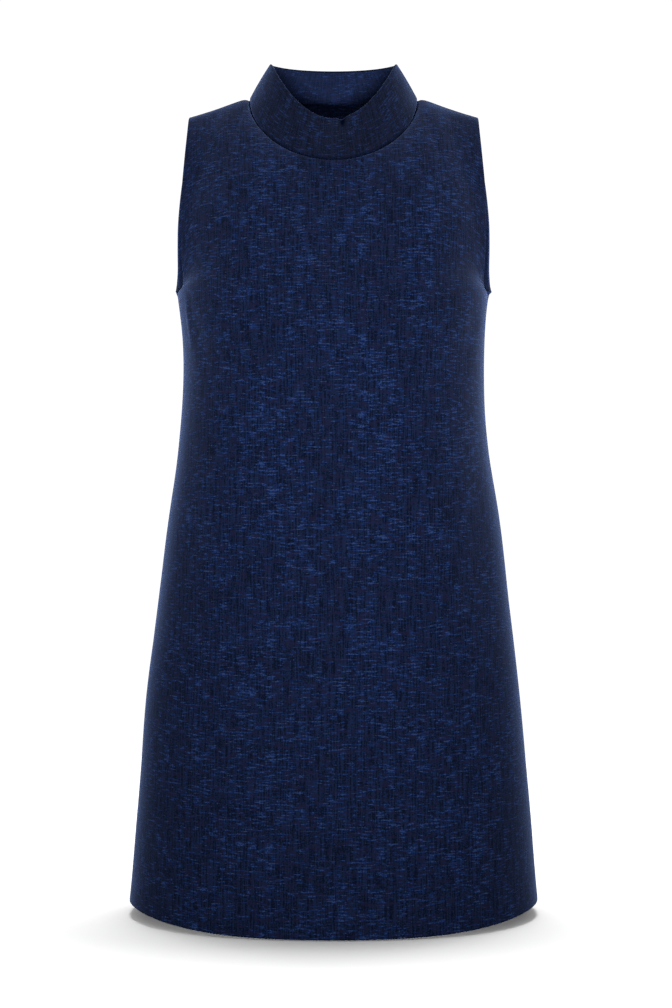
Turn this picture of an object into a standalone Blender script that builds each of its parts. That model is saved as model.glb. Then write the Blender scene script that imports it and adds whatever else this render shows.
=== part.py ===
"""Sleeveless A-line shift dress with a high folded collar, standing hollow as it is worn.

Three sewn pieces: front_panel and back_panel, which meet at the side and shoulder seams, and the
collar, a band folded along its top edge. Metres, +Z up, front towards -Y. The origin is the centre
of the neck opening, level with the side neck points, where the wearer's neck and shoulders hold it.
"""

import math

import bpy
import numpy as np

FRONT, BACK = -1, 1        # the sign of Y on each panel

# Cloth
WALL = 0.0016              # one layer of the knit
DOUBLED_WALL = 0.0029      # hem, armhole edges and collar: two layers pressed together
SEAM_GAP = 0.0003          # clearance between pieces at a seam
CLOTH_COLOUR = (0.012, 0.022, 0.075, 1.0)
CLOTH_ROUGHNESS = 0.88

# Lengths below the side neck points
UNDERARM_DROP = 0.1985     # top of the side seam
CHEST_DROP = 0.206         # level where the panels' columns start up over the chest
HEM_DROP = 0.849           # hem at centre front and centre back
HEM_SIDE_RISE = 0.010      # the hem curves up this much at the side seams
HEM_RISE_POWER = 3
HEM_TURNING = 0.022        # height of the turned-up hem
HEM_STEP = 0.002           # the wall thins from two layers to one over this height

# Neck seam: widest at the side neck points, falling to the front and rising a little behind
NECK_HALF_WIDTH = 0.089
NECK_FRONT = 0.082
NECK_BACK = 0.062
NECK_CENTRE_Y = 0.004
NECK_SIDE_Z = 0.0025
NECK_FRONT_DROP = 0.075
NECK_BACK_RISE = 0.0105
NECK_FALL_POWER = 1.12     # how evenly the seam falls to the front

# Shoulder ridge, where the shoulder seams lie
SHOULDER_TIP = 0.1517      # half width of the shoulders
SHOULDER_TIP_Z = -0.0149
SHOULDER_VIRTUAL_TIP = 0.178   # the torso's shoulder, if the armholes were not cut
SHOULDER_SLOPE = 0.28      # at the tip
SHOULDER_SWEEP = 0.98      # how much steeper it gets towards the neck, per metre
SHOULDER_ROLL = 0.0041     # the shoulder cloth stands this much proud of the neck seam
SHOULDER_ROLL_WIDTH = 0.004
SHOULDER_SEAM_Y = 0.006
SHOULDER_SEAM_SETTLES = 3  # the seam reaches that place a third of the way out

# Collar, from the neck seam to its folded top edge
COLLAR_TOP_HALF_WIDTH = 0.0672
COLLAR_TOP_FRONT = 0.061
COLLAR_TOP_BACK = 0.042
COLLAR_TOP_CENTRE_Y = 0.003
COLLAR_TOP_SIDE_Z = 0.0405
COLLAR_TOP_FRONT_DROP = 0.0692
COLLAR_TOP_BACK_RISE = 0.0006
COLLAR_TOP_FALL_POWER = 1.8
COLLAR_FLARE = 0.0016      # the band curves in this much between its two edges
COLLAR_OUTER_LIFT = 0.00045    # clearance of its outer raw edge over the panels
COLLAR_INNER_LIFT = 0.0008     # its inner raw edge is trimmed shorter, to clear them
FOLD_HEIGHT = 0.35         # the fold's crown, in walls, and how far it narrows on each side
FOLD_NARROWING = 0.22

# Grid
NECK_CELLS = 10            # from the centre of a panel to its side neck point
SHOULDER_CELLS = 6         # along each shoulder seam
CHEST_ROWS = 13            # from the chest level to the shoulder
CHEST_ROW_POWER = 1.15     # rows are a little closer together at the underarm
COLLAR_ROWS = 5
SHARP_ANGLE = 50
SKIRT_DROPS = (0.230, 0.256, 0.285, 0.320, 0.363, 0.412, 0.466, 0.525, 0.588, 0.655, 0.725, 0.790)

# The level sections: half width at the side seams, depth of the front and of the back, and how
# square the section is, where 2 gives half an ellipse. A row for each section.
SECTION_COLUMNS = ("drop", "half_width", "front", "back", "squareness")
SECTIONS = (
    (0.190, 0.1614, 0.1150, 0.1070, 2.60),
    (0.222, 0.1598, 0.1225, 0.1090, 2.55),
    (0.250, 0.1576, 0.1270, 0.1095, 2.50),
    (0.280, 0.1566, 0.1295, 0.1092, 2.45),
    (0.313, 0.1575, 0.1308, 0.1083, 2.40),
    (0.363, 0.1622, 0.1312, 0.1077, 2.35),
    (0.430, 0.1717, 0.1315, 0.1095, 2.30),
    (0.498, 0.1806, 0.1325, 0.1150, 2.25),
    (0.565, 0.1890, 0.1342, 0.1215, 2.22),
    (0.649, 0.1979, 0.1372, 0.1280, 2.20),
    (0.733, 0.2048, 0.1400, 0.1325, 2.18),
    (0.817, 0.2116, 0.1428, 0.1360, 2.16),
    (0.849, 0.2146, 0.1440, 0.1370, 2.15),
)

# The armhole edges, from the underarm up to the shoulder tip: a row for each place on the edge.
ARMHOLE_COLUMNS = ("half_width", "away_from_side", "drop")
FRONT_ARMHOLE = (
    (0.1652, 0.0000, 0.1985),
    (0.1605, 0.0075, 0.2020),
    (0.1555, 0.0180, 0.1990),
    (0.1523, 0.0330, 0.1905),
    (0.1530, 0.0440, 0.1765),
    (0.1545, 0.0495, 0.1600),
    (0.1566, 0.0500, 0.1350),
    (0.1566, 0.0450, 0.1080),
    (0.1538, 0.0330, 0.0610),
    (0.1522, 0.0200, 0.0350),
    (0.1517, 0.0070, 0.0200),
    (0.1517, -0.0060, 0.0150),
)
BACK_ARMHOLE = (
    (0.1656, 0.0000, 0.1985),
    (0.1664, 0.0120, 0.1965),
    (0.1664, 0.0250, 0.1885),
    (0.1664, 0.0350, 0.1750),
    (0.1664, 0.0430, 0.1480),
    (0.1657, 0.0460, 0.1230),
    (0.1634, 0.0440, 0.0980),
    (0.1578, 0.0370, 0.0570),
    (0.1545, 0.0285, 0.0330),
    (0.1522, 0.0180, 0.0205),
    (0.1517, 0.0060, 0.0150),
)
ARMHOLE_REACH = 2.5        # how sharply the armhole's own shape fades out towards the centre
NARROWEST = 0.78           # share of the uncut torso's columns that the armholes leave
SCOOP_SHARE = 0.30         # the armhole's curved bottom takes this share of the rows

# Underarm
HOOK = 0.0042              # the cloth kicks out at the top of the side seam
HOOK_LENGTH = 0.012
HOOK_POWER = 12
UNDERARM_RISE_POWER = 6    # how sharply the rows rise to the underarm
UNDERARM_RISE_LENGTH = 0.110   # this much further down, the rows are level

# How the columns over the chest arrive at the top edge: their steepness in degrees and their reach
CENTRE_TILT = {FRONT: 66, BACK: 62}
RIDGE_TILT = 9
CENTRE_REACH = 0.130
RIDGE_REACH = 0.215
RIDGE_SHARE = 0.66         # from this share outwards, all columns arrive as at the ridge
NECK_LEAN = 0.10           # how far they lean inwards beside the neck
ARMHOLE_LEAN = 0.45        # and how much further at the armholes, from this share outwards
ARMHOLE_LEAN_FROM = 0.7
CORNER_SOFTNESS = 0.20     # below the top edge, the neck's corner is rounded over this share
CORNER_SAMPLES = 9
CORNER_FADE = 75           # degrees of a cosine that weights the samples
CORNER_POWER = 5
SLOPE_STEP = 0.004         # the step that measures the sections' slope


def curve_through(knots, values, at):
    """A cubic through the values at rising knots, with slopes from their neighbours."""
    knots, values, at = (np.asarray(v, float) for v in (knots, values, at))
    slopes = np.gradient(values, knots, axis=0)
    i = np.clip(np.searchsorted(knots, at) - 1, 0, len(knots) - 2)
    step = knots[i + 1] - knots[i]
    u = (at - knots[i]) / step
    if values.ndim == 2:
        step, u = step[..., None], u[..., None]
    return hermite(values[i], values[i + 1], slopes[i] * step, slopes[i + 1] * step, u)


def hermite(start, end, start_slope, end_slope, u):
    """The cubic from start to end that leaves and arrives with the given slopes."""
    u2, u3 = u * u, u * u * u
    return (
        (2 * u3 - 3 * u2 + 1) * start
        + (3 * u2 - 2 * u3) * end
        + (u3 - 2 * u2 + u) * start_slope
        + (u3 - u2) * end_slope
    )


def smoothstep(x):
    x = np.clip(x, 0, 1)
    return x * x * (3 - 2 * x)


def unit(vectors):
    return vectors / np.linalg.norm(vectors, axis=-1, keepdims=True)


def column(rows, names, name):
    return np.array(rows)[:, names.index(name)]


def section_point(share, drop, face):
    """A point of the level section at a drop: share runs from 0 at the centre to 1 at the side.

    The section is a superellipse. The hook adds to its width only at the top of the side seam.
    """
    drops = column(SECTIONS, SECTION_COLUMNS, "drop")
    depth_name = "front" if face == FRONT else "back"
    half = curve_through(drops, column(SECTIONS, SECTION_COLUMNS, "half_width"), drop)
    depth = curve_through(drops, column(SECTIONS, SECTION_COLUMNS, depth_name), drop)
    power = 2 / curve_through(drops, column(SECTIONS, SECTION_COLUMNS, "squareness"), drop)
    angle = share * math.pi / 2
    below = np.maximum(drop - UNDERARM_DROP, 0)
    hook = HOOK * share**HOOK_POWER * np.exp(-below / HOOK_LENGTH)
    x = half * np.sin(angle) ** power + hook
    y = face * depth * np.maximum(np.cos(angle), 0) ** power
    return np.stack([x, y, -drop + 0 * x], axis=-1)


def neck_seam(angle, face):
    """The seam between panels and collar: angle is 0 at the centre and a right angle at the side."""
    reach = NECK_FRONT if face == FRONT else NECK_BACK
    cosine = np.maximum(np.cos(angle), 0)
    front_fall = -NECK_FRONT_DROP * cosine**NECK_FALL_POWER
    fall = front_fall if face == FRONT else NECK_BACK_RISE * cosine
    x = NECK_HALF_WIDTH * np.sin(angle)
    y = NECK_CENTRE_Y + face * reach * cosine
    return np.stack([x, y, NECK_SIDE_Z + fall], axis=-1)


def collar_top(angle, face):
    """The folded top edge of the collar, level behind and dipping low in front."""
    reach = COLLAR_TOP_FRONT if face == FRONT else COLLAR_TOP_BACK
    cosine = np.maximum(np.cos(angle), 0)
    front_fall = -COLLAR_TOP_FRONT_DROP * cosine**COLLAR_TOP_FALL_POWER
    fall = front_fall if face == FRONT else COLLAR_TOP_BACK_RISE * cosine
    x = COLLAR_TOP_HALF_WIDTH * np.sin(angle)
    y = COLLAR_TOP_CENTRE_Y + face * reach * cosine
    return np.stack([x, y, COLLAR_TOP_SIDE_Z + fall], axis=-1)


def shoulder_height(half_width):
    """Height of the shoulder ridge: ever steeper towards the neck, then a roll down to the seam."""
    inward = SHOULDER_TIP - half_width
    ridge = SHOULDER_TIP_Z + SHOULDER_SLOPE * inward + SHOULDER_SWEEP * inward * np.abs(inward)
    return ridge - SHOULDER_ROLL * np.exp((NECK_HALF_WIDTH - half_width) / SHOULDER_ROLL_WIDTH)


def tip_share():
    """The share of the uncut columns that ends at the shoulder tip, with even cells either side."""
    cut = (SHOULDER_TIP - NECK_HALF_WIDTH) / (SHOULDER_VIRTUAL_TIP - NECK_HALF_WIDTH)
    neck_part = NECK_CELLS / (NECK_CELLS + SHOULDER_CELLS)
    return cut / (1 - neck_part * (1 - cut))


def top_point(share, face):
    """The top edge of a panel: half the neck seam, then the shoulder ridge and on past its tip."""
    side, share = np.where(share < 0, -1.0, 1.0), np.abs(share)
    neck_share = tip_share() * NECK_CELLS / (NECK_CELLS + SHOULDER_CELLS)
    angle = np.minimum(share / neck_share, 1) * math.pi / 2
    along = np.maximum(share - neck_share, 0) / (1 - neck_share)
    x = NECK_HALF_WIDTH + along * (SHOULDER_VIRTUAL_TIP - NECK_HALF_WIDTH)
    settled = np.minimum(along * SHOULDER_SEAM_SETTLES, 1)
    y = NECK_CENTRE_Y + (SHOULDER_SEAM_Y - NECK_CENTRE_Y) * settled
    ridge = np.stack([x, y, shoulder_height(x)], axis=-1)
    edge = np.where((share <= neck_share)[..., None], neck_seam(angle, face), ridge)
    return edge * np.stack([side, np.ones_like(side), np.ones_like(side)], axis=-1)


def softened_top(share, face):
    """The top edge with its corner at the side neck point rounded: a weighted mean along the edge."""
    offsets = np.linspace(-1, 1, CORNER_SAMPLES)
    weights = np.cos(offsets * math.radians(CORNER_FADE))
    weights = weights / weights.sum()
    return sum(w * top_point(share + o * CORNER_SOFTNESS, face) for w, o in zip(weights, offsets))


def chest_point(share, up, face):
    """The torso above the chest level, as if it had no armholes.

    Each column is a cubic that leaves the chest section upwards and arrives at the neck seam or
    over the shoulder ridge; up is 0 at the chest level and 1 at the top. The neck's corner is
    felt only near the top edge.
    """
    start = section_point(share, CHEST_DROP + 0 * share, face)
    above = section_point(share, CHEST_DROP - SLOPE_STEP + 0 * share, face)
    end = top_point(share, face)
    soft_end = softened_top(share, face)
    leaving = (above - start) / SLOPE_STEP * (soft_end - start)[..., 2:]
    blend = smoothstep(share / RIDGE_SHARE)
    tilt = np.radians(CENTRE_TILT[face] + (RIDGE_TILT - CENTRE_TILT[face]) * blend)
    reach = CENTRE_REACH + (RIDGE_REACH - CENTRE_REACH) * blend
    at_armhole = smoothstep((share - ARMHOLE_LEAN_FROM) / (1 - ARMHOLE_LEAN_FROM))
    lean = NECK_LEAN * np.clip(2 * share, 0, 1) + ARMHOLE_LEAN * at_armhole
    arriving = np.stack([-lean, -face * np.cos(tilt), np.sin(tilt)], axis=-1) * reach[..., None]
    column_point = hermite(start, soft_end, leaving, arriving, up[..., None])
    return column_point + (end - soft_end) * up[..., None] ** CORNER_POWER


def armhole_edge(up, face):
    """The armhole edge, a smooth curve through its table's places, spaced by their distance."""
    rows = FRONT_ARMHOLE if face == FRONT else BACK_ARMHOLE
    out = column(rows, ARMHOLE_COLUMNS, "half_width")
    away = column(rows, ARMHOLE_COLUMNS, "away_from_side") * face
    height = -column(rows, ARMHOLE_COLUMNS, "drop")
    places = np.stack([out, away, height], axis=-1)
    steps = np.linalg.norm(np.diff(places, axis=0), axis=1)
    knots = np.concatenate([[0], np.cumsum(steps)]) / steps.sum()
    return curve_through(knots, places, up)


def armhole_share(up):
    """How much of the uncut torso's columns each row keeps between its armholes."""
    scoop = np.maximum(1 - up / SCOOP_SHARE, 0) ** 2
    return NARROWEST + (1 - NARROWEST) * scoop + (tip_share() - NARROWEST) * up**2


def skirt_half(across, face):
    """The outer face from the hem to just below the chest level, with the hem's and underarm's curves."""
    turned = (HEM_DROP, HEM_DROP - HEM_TURNING, HEM_DROP - HEM_TURNING - HEM_STEP)
    share, drop = np.meshgrid(across, np.array(turned + SKIRT_DROPS[::-1]))
    near_underarm = np.clip(1 - (drop - CHEST_DROP) / UNDERARM_RISE_LENGTH, 0, 1) ** 2
    near_hem = ((drop - CHEST_DROP) / (HEM_DROP - CHEST_DROP)) ** 3
    underarm_rise = (CHEST_DROP - UNDERARM_DROP) * share**UNDERARM_RISE_POWER * near_underarm
    hem_rise = HEM_SIDE_RISE * np.sin(share * math.pi / 2) ** HEM_RISE_POWER * near_hem
    return section_point(share, drop - underarm_rise - hem_rise, face)


def chest_half(across, face):
    """The outer face from the chest level up, its rows cut short at the armhole edge."""
    levels = np.linspace(0, 1, CHEST_ROWS + 1) ** CHEST_ROW_POWER
    part, up = np.meshgrid(across, levels)
    chest = chest_point(part * armhole_share(up), up, face)
    pull = armhole_edge(levels, face) - chest[:, -1]
    chest = chest + pull[:, None, :] * (part**ARMHOLE_REACH)[..., None]
    underarm_rise = (CHEST_DROP - UNDERARM_DROP) * across**UNDERARM_RISE_POWER
    chest[0] = section_point(across, CHEST_DROP - underarm_rise, face)
    return chest


def mirrored(half):
    """The whole width of a piece, from its half on the +X side."""
    other = half[:, :0:-1] * np.array([-1.0, 1.0, 1.0])
    return np.concatenate([other, half], axis=1)


def grid_normals(grid):
    """Unit normals of a grid, from the cross products of its column and row directions."""
    return unit(np.cross(np.gradient(grid, axis=1), np.gradient(grid, axis=0)))


def quads(*corners):
    return np.stack([c.reshape(-1) for c in corners], axis=-1)


def solid_from_grids(name, outer, inner, closed_round):
    """One closed solid from an outer and an inner grid, with a rim wherever the grids end."""
    rows, columns = outer.shape[:2]
    points = np.concatenate([outer.reshape(-1, 3), inner.reshape(-1, 3)])
    index = np.arange(rows * columns).reshape(rows, columns)
    if closed_round:
        index = np.concatenate([index, index[:, :1]], axis=1)
    under = index + rows * columns
    faces = [
        quads(index[:-1, :-1], index[:-1, 1:], index[1:, 1:], index[1:, :-1]),
        quads(under[:-1, :-1], under[1:, :-1], under[1:, 1:], under[:-1, 1:]),
        quads(index[0, :-1], under[0, :-1], under[0, 1:], index[0, 1:]),
        quads(index[-1, 1:], under[-1, 1:], under[-1, :-1], index[-1, :-1]),
    ]
    if not closed_round:
        faces += [
            quads(index[1:, 0], under[1:, 0], under[:-1, 0], index[:-1, 0]),
            quads(index[:-1, -1], under[:-1, -1], under[1:, -1], index[1:, -1]),
        ]
    mesh = bpy.data.meshes.new(name)
    mesh.from_pydata(points.tolist(), [], np.concatenate(faces).tolist())
    mesh.shade_smooth()
    mesh.set_sharp_from_angle(angle=math.radians(SHARP_ANGLE))
    piece = bpy.data.objects.new(name, mesh)
    bpy.context.scene.collection.objects.link(piece)
    return piece


def panel(name, face):
    """A cut panel. Its wall goes inwards from the outer face and is thicker where an edge is turned in.

    At the side and shoulder seams the wall stays in the seam's plane, so the two panels never touch.
    """
    across = np.linspace(0, 1, NECK_CELLS + SHOULDER_CELLS + 1)
    skirt, chest = skirt_half(across, face), chest_half(across, face)
    outer = mirrored(np.concatenate([skirt, chest])) + np.array([0, face * SEAM_GAP / 2, 0])
    underarm_row = len(skirt)
    normal = -face * grid_normals(outer)
    for edge in (0, -1):
        normal[:underarm_row + 1, edge, 1] = 0
    for shoulder in (slice(0, SHOULDER_CELLS + 1), slice(-SHOULDER_CELLS - 1, None)):
        normal[-1, shoulder, 1] = 0
    wall = np.full(outer.shape[:2], WALL)
    wall[:2] = DOUBLED_WALL
    for edge in (0, -1):
        wall[underarm_row + 1:-1, edge] = DOUBLED_WALL
    inner = outer - unit(normal) * wall[..., None]
    if face == BACK:
        outer, inner = outer[:, ::-1], inner[:, ::-1]
    return solid_from_grids(name, outer, inner, closed_round=False)


def ring(edge):
    """A closed ring of points from an edge given on its right half, front to back."""
    quarter = np.linspace(0, math.pi / 2, NECK_CELLS + 1)
    right = np.concatenate([edge(quarter, FRONT), edge(quarter, BACK)[-2::-1]])
    left = right[-2:0:-1] * np.array([-1.0, 1.0, 1.0])
    return np.concatenate([right, left])


def collar(name):
    """The folded band: two layers as one wall from the neck seam to a rounded top fold."""
    base, top = ring(neck_seam), ring(collar_top)
    up = np.linspace(0, 1, COLLAR_ROWS + 1)[:, None, None]
    outward = unit((base - np.array([0, NECK_CENTRE_Y, 0])) * np.array([1.0, 1.0, 0.0]))
    outer = base + (top - base) * up - outward * COLLAR_FLARE * np.sin(math.pi * up)
    wrapped = np.concatenate([outer[:, -1:], outer, outer[:, :1]], axis=1)
    normal = grid_normals(wrapped)[:, 1:-1]
    along = unit(np.gradient(outer, axis=0))
    outer[0] += along[0] * COLLAR_OUTER_LIFT
    inner = outer - normal * DOUBLED_WALL
    inner[0] += along[0] * COLLAR_INNER_LIFT
    crown = along[-1] * DOUBLED_WALL * FOLD_HEIGHT
    narrower = normal[-1] * DOUBLED_WALL * FOLD_NARROWING
    outer = np.concatenate([outer, (outer[-1] - narrower + crown)[None]])
    inner = np.concatenate([inner, (inner[-1] + narrower + crown)[None]])
    return solid_from_grids(name, outer, inner, closed_round=True)


def cloth_material(name):
    material = bpy.data.materials.new(name)
    material.use_nodes = True
    shader = material.node_tree.nodes["Principled BSDF"]
    shader.inputs["Base Color"].default_value = CLOTH_COLOUR
    shader.inputs["Roughness"].default_value = CLOTH_ROUGHNESS
    shader.inputs["Metallic"].default_value = 0.0
    return material


def main():
    for old in list(bpy.data.objects):
        bpy.data.objects.remove(old)
    pieces = (panel("front_panel", FRONT), panel("back_panel", BACK), collar("collar"))
    for piece in pieces:
        piece.data.materials.append(cloth_material(piece.name + "_cloth"))


main()
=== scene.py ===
"""Looks of a sleeveless A-line shift dress in slubbed knit with a high folded collar.

The dress stands hollow, as it is worn. Metres, +Z up, front towards -Y, and the origin is the centre
of the neck opening, level with the side neck points. Every sewn piece is a thin shell on the form of
its solid, with finer rows and columns, rolled edges and the soft creases of worn cloth.
"""

import math

import bpy
import numpy as np
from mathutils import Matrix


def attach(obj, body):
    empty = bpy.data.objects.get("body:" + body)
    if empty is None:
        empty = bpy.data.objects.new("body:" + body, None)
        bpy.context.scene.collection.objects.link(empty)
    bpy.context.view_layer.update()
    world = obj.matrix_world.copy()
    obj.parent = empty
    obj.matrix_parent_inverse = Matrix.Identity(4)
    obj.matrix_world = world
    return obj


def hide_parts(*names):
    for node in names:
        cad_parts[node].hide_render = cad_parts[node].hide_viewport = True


FRONT, BACK = -1, 1        # the sign of Y on each panel
MM = 1000                  # millimetres in a metre

# Cloth
WALL = 0.0016              # one layer of the knit
DOUBLED_WALL = 0.0029      # hem, armhole edges and collar: two layers pressed together
SEAM_LAP = 0.0003          # each panel reaches this far past the middle of its side and shoulder seams
EDGE_ROLL = 0.0007         # radius of the cut and folded edges
EDGE_ROLL_STEPS = 3
EDGE_ROLL_ANGLE = 55       # only edges sharper than this many degrees are rolled
SIDE_SINK = 0.0003         # the cloth dips this much into the side and shoulder seams
NECK_SINK = {FRONT: 0.0018, BACK: 0.0006}      # and each panel this much into the neck seam
COLLAR_SINK = 0.0020       # and the collar this much
SEAM_SINK_WIDTH = 0.0016
NECK_SINK_FADE = 4         # columns over which the neck seam's dip ends, at the side neck points
PAINTED_SHADOW_WIDTH = 0.0014      # painted shadow darkens the neck seam this far either side
TURNING = 0.012            # width of the armholes' turnings inside
TURNING_STEP = 0.0015

# Lengths below the side neck points
UNDERARM_DROP = 0.1985     # top of the side seam
CHEST_DROP = 0.206         # level where the panels' columns start up over the chest
HEM_DROP = 0.849           # hem at centre front and centre back
HEM_SIDE_RISE = 0.0145     # the hem curves up this much at the side seams
HEM_RISE_POWER = 3
HEM_RISE_FADE_POWER = 3    # how soon that curve fades out up the skirt
HEM_TURNING = 0.022        # height of the turned-up hem

# Neck seam: widest at the side neck points, falling to the front and rising a little behind
NECK_HALF_WIDTH = 0.089
NECK_FRONT = 0.082
NECK_BACK = 0.062
NECK_CENTRE_Y = 0.004
NECK_SIDE_Z = 0.0025
NECK_FRONT_DROP = 0.075
NECK_BACK_RISE = 0.0105
NECK_FALL_POWER = 1.12

# Shoulder ridge, where the shoulder seams lie
SHOULDER_TIP = 0.1517
SHOULDER_TIP_Z = -0.0149
SHOULDER_VIRTUAL_TIP = 0.178
SHOULDER_SLOPE = 0.28
SHOULDER_SWEEP = 0.98
SHOULDER_ROLL = 0.0041
SHOULDER_ROLL_WIDTH = 0.004
SHOULDER_SEAM_Y = 0.006
SHOULDER_SEAM_SETTLES = 3

# Collar, from the neck seam to its folded top edge
COLLAR_TOP_HALF_WIDTH = 0.0672
COLLAR_TOP_FRONT = 0.061
COLLAR_TOP_BACK = 0.042
COLLAR_TOP_CENTRE_Y = 0.003
COLLAR_TOP_SIDE_Z = 0.0405
COLLAR_TOP_FRONT_DROP = 0.0692
COLLAR_TOP_BACK_RISE = 0.0006
COLLAR_TOP_FALL_POWER = 1.8
COLLAR_BULGE = 0.0004      # the band curves out this much between its two edges
COLLAR_TIP_DROP = 0.0014   # the fold is rounded off this much at the sides
COLLAR_TIP_POWER = 30
COLLAR_FOLD_POWER = 4      # how near the fold that rounding and the pinch's notch stay
COLLAR_LAP = {FRONT: 0.0016, BACK: 0.0004}     # its lower edge laps over the panels this much

# Rows and columns
NECK_CELLS = 50            # from the centre of a panel to its side neck point
SHOULDER_CELLS = 30        # along each shoulder seam
CHEST_ROWS = 66            # from the chest level to the shoulder
CHEST_ROW_POWER = 1.15
SKIRT_ROWS = 182           # from the hem to the chest level
SEAM_LEVELS = (0.990, 0.9955, 1.0)     # closer rows at the neck and shoulder seams
COLLAR_ROWS = 36
FOLD_STEPS = 8

# The level sections: half width at the side seams, depth of the front and of the back, and how
# square the section is, where 2 gives half an ellipse. A row for each section.
SECTION_COLUMNS = ("drop", "half_width", "front", "back", "squareness")
SECTIONS = (
    (0.190, 0.1614, 0.1150, 0.1070, 2.60),
    (0.222, 0.1598, 0.1225, 0.1090, 2.55),
    (0.250, 0.1576, 0.1270, 0.1095, 2.50),
    (0.280, 0.1566, 0.1295, 0.1092, 2.45),
    (0.313, 0.1575, 0.1308, 0.1083, 2.40),
    (0.363, 0.1622, 0.1312, 0.1077, 2.35),
    (0.430, 0.1717, 0.1315, 0.1095, 2.30),
    (0.498, 0.1806, 0.1325, 0.1150, 2.25),
    (0.565, 0.1890, 0.1342, 0.1215, 2.22),
    (0.649, 0.1979, 0.1372, 0.1280, 2.20),
    (0.733, 0.2048, 0.1400, 0.1325, 2.18),
    (0.817, 0.2116, 0.1428, 0.1360, 2.16),
    (0.849, 0.2146, 0.1440, 0.1370, 2.15),
)

# The armhole edges, from the underarm up to the shoulder tip: a row for each place on the edge.
ARMHOLE_COLUMNS = ("half_width", "away_from_side", "drop")
FRONT_ARMHOLE = (
    (0.1652, 0.0000, 0.1985),
    (0.1622, 0.0075, 0.2015),
    (0.1580, 0.0180, 0.1980),
    (0.1553, 0.0330, 0.1895),
    (0.1556, 0.0440, 0.1765),
    (0.1560, 0.0495, 0.1600),
    (0.1566, 0.0500, 0.1350),
    (0.1566, 0.0450, 0.1080),
    (0.1538, 0.0330, 0.0610),
    (0.1522, 0.0200, 0.0350),
    (0.1517, 0.0070, 0.0200),
    (0.1517, -0.0060, 0.0150),
)
BACK_ARMHOLE = (
    (0.1656, 0.0000, 0.1985),
    (0.1664, 0.0120, 0.1965),
    (0.1664, 0.0250, 0.1885),
    (0.1664, 0.0350, 0.1750),
    (0.1672, 0.0430, 0.1480),
    (0.1671, 0.0460, 0.1230),
    (0.1649, 0.0440, 0.0980),
    (0.1587, 0.0370, 0.0570),
    (0.1545, 0.0285, 0.0330),
    (0.1522, 0.0180, 0.0205),
    (0.1517, 0.0060, 0.0150),
)
ARMHOLE_REACH = 2.5        # how sharply the armhole's own shape fades out towards the centre
NARROWEST = 0.78           # share of the uncut torso's columns that the armholes leave
SCOOP_SHARE = 0.30         # the armhole's curved bottom takes this share of the rows

# Underarm
HOOK = 0.0042              # the cloth kicks out at the top of the side seam
HOOK_LENGTH = 0.012
HOOK_POWER = 12
UNDERARM_RISE_POWER = 6
UNDERARM_RISE_LENGTH = 0.110
UNDERARM_RISE_FADE_POWER = 2
JOIN_REACH = 8             # rows either side of the chest level that are eased together
JOIN_PASSES = 24

# How the columns over the chest arrive at the top edge: their steepness in degrees and their reach
CENTRE_TILT = {FRONT: 66, BACK: 62}
RIDGE_TILT = 9
CENTRE_REACH = 0.130
RIDGE_REACH = 0.215
RIDGE_SHARE = 0.66
NECK_LEAN = 0.10
NECK_LEAN_SETTLES = 2
ARMHOLE_LEAN = 0.45
ARMHOLE_LEAN_FROM = 0.7
CORNER_SOFTNESS = 0.20
CORNER_SAMPLES = 9
CORNER_FADE = 75
CORNER_POWER = 5
SLOPE_STEP = 0.004

# Soft creases: where each starts and ends, as metres across from the centre and metres of height,
# its width and its height, which is negative in a trough. A row for each crease.
CREASE_COLUMNS = ("from_across", "from_z", "to_across", "to_z", "width", "height")
FRONT_CREASES = (
    (-0.176, -0.205, -0.168, -0.268, 0.0055, 0.0011),
    (-0.163, -0.215, -0.128, -0.305, 0.0100, -0.0009),
    (0.170, -0.212, 0.136, -0.290, 0.0100, -0.0009),
    (-0.150, -0.330, -0.165, -0.640, 0.0220, -0.0012),
    (0.152, -0.320, 0.168, -0.600, 0.0240, -0.0013),
    (-0.060, -0.470, -0.085, -0.840, 0.0450, 0.0011),
    (0.045, -0.520, 0.070, -0.845, 0.0420, -0.0010),
    (0.118, -0.540, 0.150, -0.845, 0.0400, 0.0012),
    (-0.095, -0.140, -0.030, -0.190, 0.0160, 0.0006),
)
BACK_CREASES = (
    (-0.165, -0.212, -0.120, -0.300, 0.0100, -0.0010),
    (0.160, -0.215, 0.126, -0.285, 0.0100, -0.0010),
    (-0.150, -0.320, -0.162, -0.620, 0.0240, -0.0013),
    (0.148, -0.330, 0.165, -0.640, 0.0220, -0.0012),
    (0.058, -0.480, 0.080, -0.845, 0.0450, 0.0013),
    (-0.050, -0.500, -0.072, -0.845, 0.0420, -0.0011),
    (-0.122, -0.520, -0.150, -0.845, 0.0380, 0.0012),
    (-0.080, -0.290, 0.070, -0.305, 0.0150, -0.0008),
)
CREASE_EDGE_FADE = 0.012   # creases die out this near to a seam or an edge

# The cloth's own slow unevenness, made of crossing ripples, in radians to the metre and radians. A
# row for each ripple.
RIPPLE_COLUMNS = ("turns_across", "turns_up", "start")
RIPPLES = (
    (31, 17, 0.4),
    (-23, 29, 1.9),
    (47, -13, 3.1),
    (11, 41, 4.4),
)
RIPPLE_HEIGHT = 0.00035

# The collar's small pinch in front, to the wearer's left of the centre
PINCH_ACROSS = 0.0085
PINCH_LEAN = 0.12
PINCH_WIDTH = 0.0034
PINCH_LENGTH = 0.0105
PINCH_DEPTH = 0.0045
PINCH_RIDGE = 0.0007       # the cloth stands up this much beside it
PINCH_RIDGE_ASIDE = 1.7    # this many widths away
PINCH_PAINTED_SHADOW = 1.35         # how far the pinch's painted shadow spreads, against its depth
PINCH_NOTCH = 0.0002
PINCH_NOTCH_WIDTH = 0.003

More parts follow.
